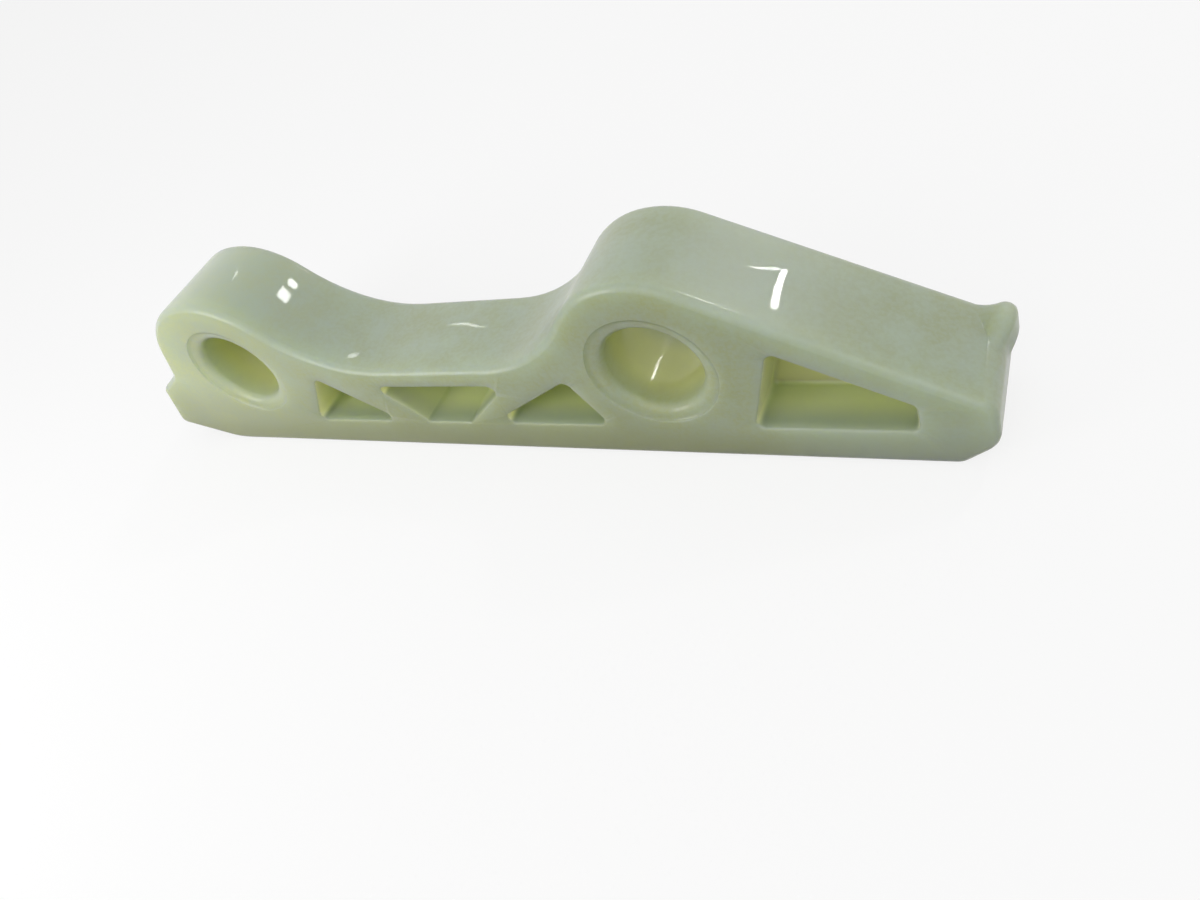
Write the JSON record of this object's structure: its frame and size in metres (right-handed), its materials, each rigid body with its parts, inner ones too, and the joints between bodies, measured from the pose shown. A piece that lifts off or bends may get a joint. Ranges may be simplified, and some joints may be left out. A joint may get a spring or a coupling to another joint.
{
  "type": "timing chain guide",
  "caption": "Moulded timing chain guide: a straight flat shoe with a sloped toe and tail, two humped bolt bosses with through bores, and triangular lightening pockets.",
  "frame": {"origin": "middle of the flat chain face, at the centre of the part's box", "axes": "+X along the chain from the toe to the tail, +Y across the chain, +Z from the chain face to the bosses"},
  "size_m": [0.1056, 0.012, 0.023],
  "materials": {
    "natural_polyamide": "natural, slightly translucent polyamide as moulded, satin gloss"
  },
  "bodies": {
    "root": {"chain_guide": "natural_polyamide"}
  },
  "joints": []
}
